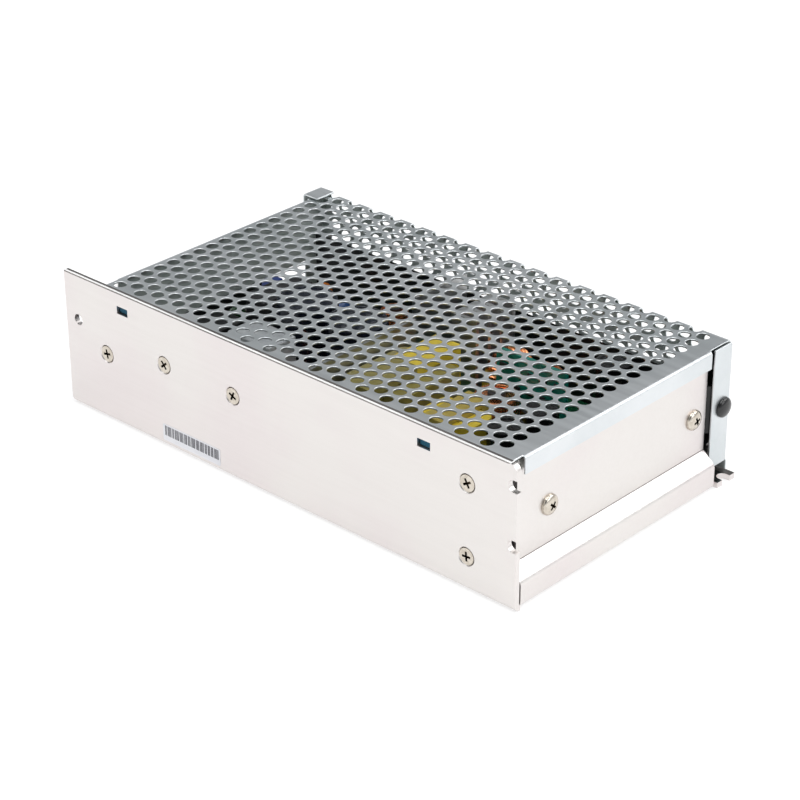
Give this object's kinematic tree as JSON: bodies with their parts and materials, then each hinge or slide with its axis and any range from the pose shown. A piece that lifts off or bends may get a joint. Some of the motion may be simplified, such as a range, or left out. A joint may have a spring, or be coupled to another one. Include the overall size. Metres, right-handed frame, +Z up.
{
  "type": "enclosed switching power supply",
  "caption": "Enclosed switching power supply in a folded aluminium chassis with a perforated steel cover, and a screw terminal block at the open end.",
  "frame": {"origin": "middle of the footprint, on the underside of the floor", "axes": "+X along the length from the terminal end to the closed end, +Y from the long front wall to the rear wall, +Z up"},
  "size_m": [0.199, 0.1109, 0.05],
  "materials": {
    "aluminium": "bare rolled sheet, faintly brushed",
    "zinc_sheet": "galvanised sheet, satin",
    "nickel_screw": "nickel-plated",
    "black_gloss": "glossy black",
    "black_matte": "moulded black",
    "sticker_paper": "white, printed with plain bars",
    "insulation_film": "thin pale film",
    "board_laminate": "green solder mask",
    "board_teal": "teal solder mask",
    "tinned_metal": "tinned",
    "adjuster_blue": "moulded blue",
    "adjuster_white": "moulded white",
    "lamp_green": "clear green",
    "fuse_body": "off-white with tinned ends",
    "green_disc": "dipped dark green",
    "orange_disc": "dipped orange",
    "blue_disc": "dipped pale blue",
    "yellow_film": "moulded yellow",
    "grey_film": "moulded grey",
    "ferrite": "dark ferrite",
    "black_tape": "black tape",
    "yellow_tape": "yellow tape",
    "copper_wire": "enamelled copper wire",
    "powder_core": "coated powder ring",
    "capacitor_blue": "dark blue sleeve",
    "capacitor_black": "black sleeve",
    "epoxy_black": "moulded black epoxy",
    "grey_pad": "grey thermal pad"
  },
  "bodies": {
    "housing": {"chassis": "aluminium", "mesh_cover": "zinc_sheet", "front_corner_bracket": "aluminium", "rear_corner_bracket": "aluminium", "countersunk_screws": "nickel_screw", "pan_head_screws": "nickel_screw", "cover_screws": "nickel_screw", "snap_rivet": "black_gloss", "bar_sticker": "sticker_paper", "insulating_sheet": "insulation_film", "board_standoffs": "tinned_metal", "circuit_board": "board_laminate", "board_screws": "nickel_screw", "terminal_block": "black_matte", "terminal_clamps": "tinned_metal", "terminal_screws": "tinned_metal", "adjuster_body": "adjuster_blue", "power_lamp": "lamp_green", "inlet_fuse": "fuse_body", "thermistor": "green_disc", "film_capacitor": "yellow_film", "line_choke_core": "ferrite", "line_choke_winding": "black_tape", "orange_disc_capacitor": "orange_disc", "blue_disc_capacitor": "blue_disc", "grey_film_capacitor": "grey_film", "filter_ring_core": "powder_core", "filter_ring_winding": "copper_wire", "small_choke_rod": "ferrite", "small_choke_coil": "copper_wire", "bulk_capacitor_1": "capacitor_blue", "bulk_capacitor_2": "capacitor_blue", "heat_plate_1": "aluminium", "heat_plate_2": "aluminium", "bridge_rectifier": "epoxy_black", "power_transistor_1": "epoxy_black", "power_transistor_2": "epoxy_black", "wall_pads": "grey_pad", "wall_nuts": "nickel_screw", "main_core": "ferrite", "main_winding": "yellow_tape", "second_core": "ferrite", "second_winding": "yellow_tape", "output_heat_sink": "aluminium", "output_rectifier": "epoxy_black", "output_ring_core": "powder_core", "output_ring_winding": "copper_wire", "choke_rod_1": "ferrite", "choke_rod_2": "ferrite", "choke_coil_1": "copper_wire", "choke_coil_2": "copper_wire", "control_board": "board_teal", "output_capacitor_1": "capacitor_black", "output_capacitor_2": "capacitor_black", "output_capacitor_3": "capacitor_black", "output_capacitor_4": "capacitor_black", "output_capacitor_5": "capacitor_black"},
    "adjuster": {"adjuster_rotor": "adjuster_white"}
  },
  "joints": [
    {"name": "voltage_adjust", "type": "hinge", "parent": "housing", "child": "adjuster", "pos_m": [-0.093, 0.03115, 0.0142], "axis": [1, 0, 0], "range_deg": [-135, 135]}
  ]
}
